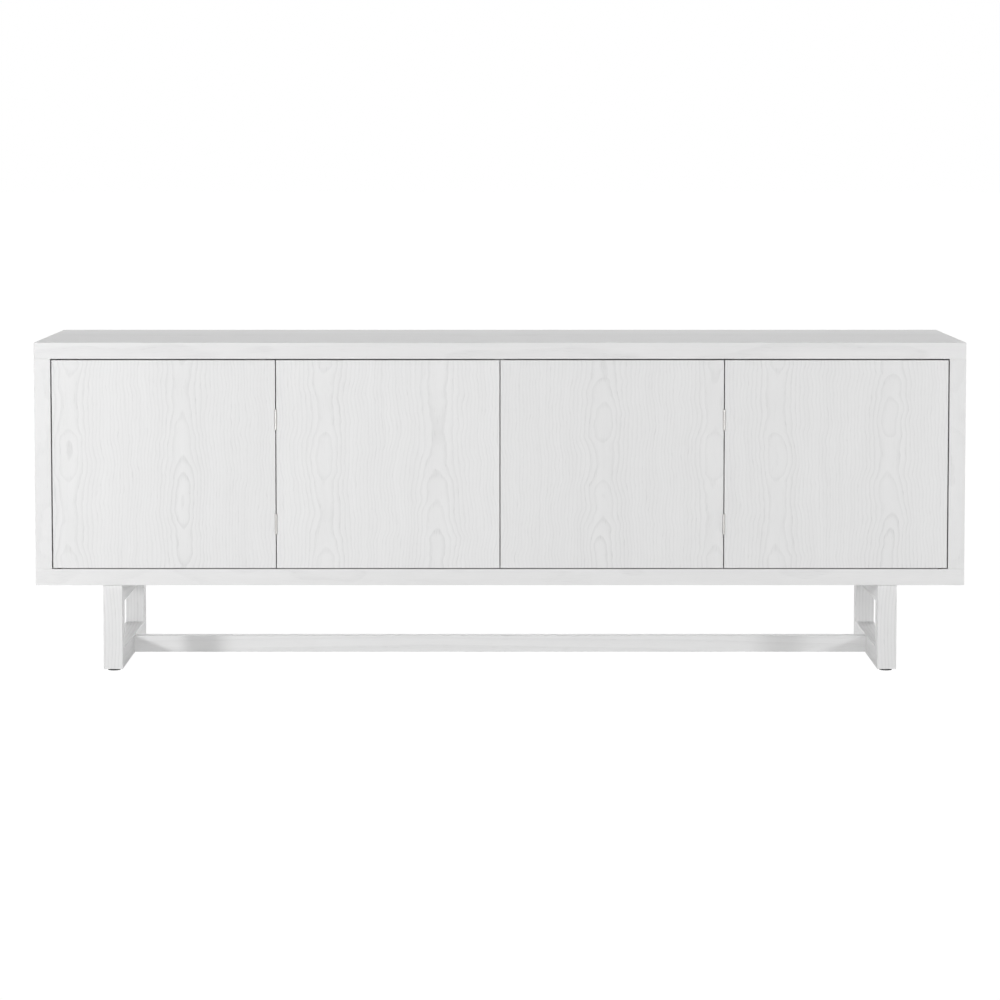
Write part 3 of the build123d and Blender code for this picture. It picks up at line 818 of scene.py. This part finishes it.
class STAND_OT_glides(bpy.types.Operator):
    """Make the floor glides and their nail heads"""

    bl_idname = "stand.glides"
    bl_label = "Floor glides"

    def execute(self, context):
        nails = bmesh.new()
        for end in ("front", "back"):
            for side in SIDES:
                node = f"glide_{end}_{side}"
                low, high = box_of(node)
                post_foot = box_of(f"leg_{end}_post_{side}")[0].z
                middle = (low + high) / 2
                start = Vector((middle.x, middle.y, low.z))
                self.disc(node, start, (high.x - low.x) / 2, post_foot - low.z)
                nail = self.nail(high.z - low.z)
                add_copy(nails, nail, Matrix.Translation(start))
                nail.free()
        to_piece(nails, "glide_nails", "case", "zinc_screw")
        return {"FINISHED"}

    def nail(self, reach):
        """A nail with a low domed head, from the cup in its disc up into the post."""
        head_low, head_edge, head_top = 1.1 * MM, 1.9 * MM, 2.4 * MM
        head_radius = 3.4 * MM
        shank_radius = 2.0 * MM
        point_length = 3.0 * MM
        outline = [(0, head_low), (head_radius - 0.2 * MM, head_low + 0.2 * MM), (head_radius, head_edge)]
        outline += [(shank_radius, head_top), (shank_radius, reach - point_length)]
        return lathe(outline + [(0.2 * MM, reach), (0, reach)])

    def disc(self, node, start, radius, height):
        """A moulded disc with a rounded foot, a groove round its side and a cup for the nail."""
        cup_radius = 3.8 * MM
        cup_depth = 2.0 * MM
        groove = radius - 0.4 * MM
        outline = [(0, cup_depth), (cup_radius, cup_depth)]
        outline += [(cup_radius + 0.4 * MM, 0.4 * MM), (cup_radius + 1.0 * MM, 0)]
        outline += round_corner(radius, 0, 1, -1, 0.7 * MM, 4)[::-1]
        outline += [(radius, height * 0.52), (groove, height * 0.56)]
        outline += [(groove, height * 0.62), (radius, height * 0.66)]
        outline += round_corner(radius, height, 1, 1, 0.3 * MM, 2) + [(0, height)]
        bm = lathe(outline)
        bmesh.ops.translate(bm, verts=bm.verts, vec=start)
        to_piece(bm, f"{node}_disc", "case", "black_nylon", replaces=[node])


# ---- the stage ---------------------------------------------------------------------------------


# Each lamp's place, the point that it faces, its width and its height.
LAMPS = {
    "left_lamp": ((-2.82, -2.36, 0.9), (-0.3, 0, 0.33), 0.35, 0.35),
    "right_lamp": ((3.0, -2.18, 0.9), (0.3, 0, 0.33), 0.35, 0.35),
    "front_lamp": ((0, -5.0, 0.8), MIDDLE, 3.0, 1.4),
    "top_lamp": ((0, 0, 3.4), (0, 0, 0), 6.0, 2.5),
    "back_lamp": ((0, 3.2, 0.5), MIDDLE, 5.0, 0.9),
    "rim_lamp": ((0, 2.5, 1.8), MIDDLE, 5.0, 1.5),
}
FLOOR_REACH = 60  # metres from the middle to each edge
VIEW_REACH = 200


def area_lamp(name, place, target, width, height, energy):
    lamp = bpy.data.lights.new(name, "AREA")
    lamp.shape = "RECTANGLE"
    lamp.size = width
    lamp.size_y = height
    lamp.energy = energy
    holder = bpy.data.objects.new(name, lamp)
    holder.location = place
    holder.rotation_euler = (Vector(target) - Vector(place)).to_track_quat("-Z", "Y").to_euler()
    bpy.context.scene.collection.objects.link(holder)


class STAND_OT_stage(bpy.types.Operator):
    """Set the floor, the lamps, the sky and the camera"""

    bl_idname = "stand.stage"
    bl_label = "Stage"

    def execute(self, context):
        look = context.scene.stand_stage
        self.floor(look)
        self.sky(look)
        for name, (place, target, width, height) in LAMPS.items():
            area_lamp(name, place, target, width, height, getattr(look, name))
        self.camera(look)
        context.scene.view_settings.view_transform = "Standard"
        return {"FINISHED"}

    def floor(self, look):
        bm = bmesh.new()
        bmesh.ops.create_grid(bm, x_segments=8, y_segments=8, size=FLOOR_REACH)
        mesh = bpy.data.meshes.new("floor")
        bm.to_mesh(mesh)
        bm.free()
        floor = bpy.data.objects.new("floor", mesh)
        bpy.context.scene.collection.objects.link(floor)
        material, tree, shader = new_material("floor_paper")
        shader.inputs["Base Color"].default_value = (*look.floor, 1)
        shader.inputs["Roughness"].default_value = 0.9
        shader.inputs["Specular IOR Level"].default_value = 0.1
        shader.inputs["Emission Color"].default_value = (1, 1, 1, 1)
        shader.inputs["Emission Strength"].default_value = look.floor_glow
        white = add(tree, "ShaderNodeEmission", {"Color": (1, 1, 1, 1), "Strength": look.floor_white})
        ray = add(tree, "ShaderNodeLightPath").outputs["Is Camera Ray"]
        mix = add(tree, "ShaderNodeMixShader", [(0, ray), (1, shader.outputs[0]), (2, white.outputs[0])])
        tree.links.new(mix.outputs[0], tree.nodes["Material Output"].inputs["Surface"])
        mesh.materials.append(material)

    def sky(self, look):
        """An even light on the stand, in front of a plain white background."""
        world = bpy.data.worlds.new("sky")
        world.use_nodes = True
        tree = world.node_tree
        tree.nodes.clear()
        light = add(tree, "ShaderNodeBackground", {"Color": (1, 1, 1, 1), "Strength": look.sky})
        seen = add(tree, "ShaderNodeBackground", {"Color": (1, 1, 1, 1), "Strength": 1.0})
        ray = add(tree, "ShaderNodeLightPath").outputs["Is Camera Ray"]
        mix = add(tree, "ShaderNodeMixShader", [(0, ray), (1, light.outputs[0]), (2, seen.outputs[0])])
        add(tree, "ShaderNodeOutputWorld", {"Surface": mix.outputs[0]})
        bpy.context.scene.world = world

    def camera(self, look):
        camera = bpy.data.cameras.new("camera")
        camera.lens = look.lens
        camera.shift_y = look.shift
        camera.clip_end = VIEW_REACH
        holder = bpy.data.objects.new("camera", camera)
        holder.location = (0, -look.distance, look.eye_height)
        holder.rotation_euler = (math.pi / 2 - look.pitch, 0, 0)
        bpy.context.scene.collection.objects.link(holder)
        bpy.context.scene.camera = holder


# ---- the panel and the run ---------------------------------------------------------------------

STEPS = (
    STAND_OT_case_boards,
    STAND_OT_doors,
    STAND_OT_leg_frames,
    STAND_OT_hinges,
    STAND_OT_latches,
    STAND_OT_grommets,
    STAND_OT_screws,
    STAND_OT_pins_and_dowels,
    STAND_OT_glides,
    STAND_OT_stage,
)


class STAND_PT_sidebar(bpy.types.Panel):
    """The stand's settings and its pieces in their order"""

    bl_idname = "STAND_PT_sidebar"
    bl_label = "Media Stand"
    bl_space_type = "VIEW_3D"
    bl_region_type = "UI"
    bl_category = "Media Stand"

    def draw(self, context):
        for group in (context.scene.stand_wood, context.scene.stand_hardware, context.scene.stand_stage):
            box = self.layout.box()
            for key in group.__annotations__:
                box.prop(group, key)
        for step in STEPS:
            self.layout.operator(step.bl_idname)


GROUPS = {"stand_wood": WoodSettings, "stand_hardware": HardwareSettings, "stand_stage": StageSettings}


def register():
    for name, group in GROUPS.items():
        bpy.utils.register_class(group)
        setattr(bpy.types.Scene, name, PointerProperty(type=group))
    for step in STEPS:
        bpy.utils.register_class(step)
    bpy.utils.register_class(STAND_PT_sidebar)


def unregister():
    bpy.utils.unregister_class(STAND_PT_sidebar)
    for step in reversed(STEPS):
        bpy.utils.unregister_class(step)
    for name, group in GROUPS.items():
        delattr(bpy.types.Scene, name)
        bpy.utils.unregister_class(group)


def main():
    register()
    for step in STEPS:
        family, name = step.bl_idname.split(".")
        getattr(getattr(bpy.ops, family), name)()


if __name__ == "__main__":
    main()
